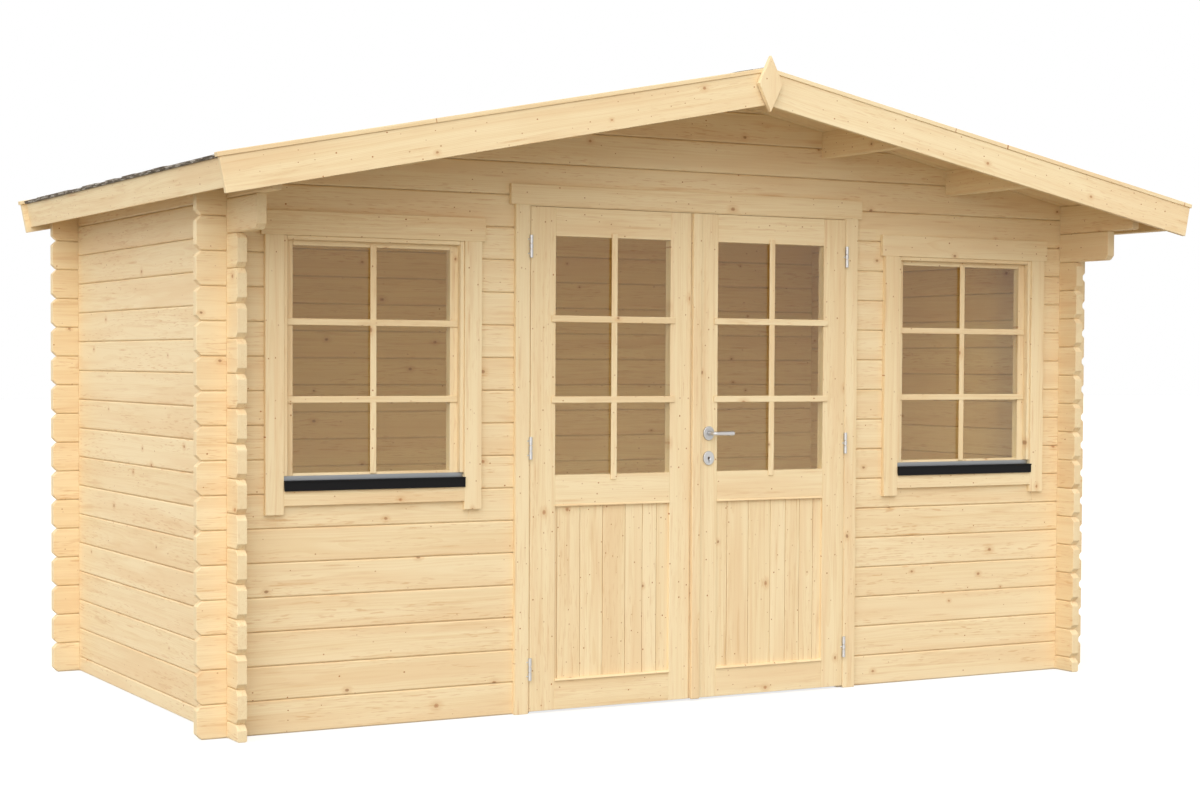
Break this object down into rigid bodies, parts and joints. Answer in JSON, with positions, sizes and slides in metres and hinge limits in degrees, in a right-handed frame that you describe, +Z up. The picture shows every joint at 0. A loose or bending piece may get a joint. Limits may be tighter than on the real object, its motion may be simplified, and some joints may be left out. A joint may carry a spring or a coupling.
{
  "type": "garden shed",
  "caption": "Small interlocking-log garden shed with a low gable roof, a deep front overhang, glazed double doors that open outward and a fixed window on each side of them",
  "frame": {"origin": "under the middle of the outer box, on the ground the walls and bearers stand on", "axes": "+X runs to the right along the front, +Y from the door side towards the back, +Z up; the doors face -Y"},
  "size_m": [4.0338, 2.45, 2.3393],
  "materials": {
    "log_timber": "planed spruce, unfinished, matte",
    "planed_timber": "planed spruce, unfinished, matte",
    "board_timber": "tongued boards, unfinished, matte",
    "floor_timber": "sawn bearers, matte",
    "shingles": "mineral-faced bitumen, grey and rough",
    "glass": "clear window glass",
    "sill_metal": "natural mill finish",
    "drip_black": "black profile, slightly matte",
    "satin_metal": "satin grey metal"
  },
  "bodies": {
    "shed": {"floor_bearers": "floor_timber", "floor_boards": "board_timber", "front_wall_left": "log_timber", "front_wall_right": "log_timber", "front_gable": "log_timber", "left_wall": "log_timber", "right_wall": "log_timber", "back_wall": "log_timber", "purlins": "planed_timber", "roof_deck_left": "board_timber", "roof_deck_right": "board_timber", "shingles_left": "shingles", "shingles_right": "shingles", "ridge_cap": "shingles", "front_bargeboard_left": "planed_timber", "front_bargeboard_right": "planed_timber", "rear_bargeboard_left": "planed_timber", "rear_bargeboard_right": "planed_timber", "front_cover_laths": "planed_timber", "rear_cover_laths": "planed_timber", "eave_board_left": "planed_timber", "eave_board_right": "planed_timber", "finial": "planed_timber", "door_frame": "planed_timber", "threshold": "planed_timber", "door_casing": "planed_timber", "left_window_casing": "planed_timber", "right_window_casing": "planed_timber", "left_window_frame": "planed_timber", "right_window_frame": "planed_timber", "left_window_sash": "planed_timber", "right_window_sash": "planed_timber", "window_glass": "glass", "window_sills": "sill_metal", "window_drips": "drip_black", "frame_hinges": "satin_metal"},
    "left_leaf": {"left_leaf_frame": "planed_timber", "left_leaf_panel": "planed_timber", "left_leaf_glass": "glass", "left_leaf_hinges": "satin_metal"},
    "right_leaf": {"right_leaf_frame": "planed_timber", "right_leaf_panel": "planed_timber", "right_leaf_glass": "glass", "right_leaf_hinges": "satin_metal", "meeting_strip": "planed_timber", "door_roses": "satin_metal"},
    "lever": {"lever_handle": "satin_metal"}
  },
  "joints": [
    {"name": "left_leaf_hinge", "type": "hinge", "parent": "shed", "child": "left_leaf", "pos_m": [-0.68625, -0.728, 1], "axis": [0, 0, -1], "range_deg": [0, 170]},
    {"name": "right_leaf_hinge", "type": "hinge", "parent": "shed", "child": "right_leaf", "pos_m": [0.68625, -0.728, 1], "axis": [0, 0, 1], "range_deg": [0, 170]},
    {"name": "lever_turn", "type": "hinge", "parent": "right_leaf", "child": "lever", "pos_m": [0.064, -0.728, 0.999], "axis": [0, 1, 0], "range_deg": [0, 45], "stiffness_Nm_per_rad": 1.5, "springref_deg": -22.92}
  ]
}
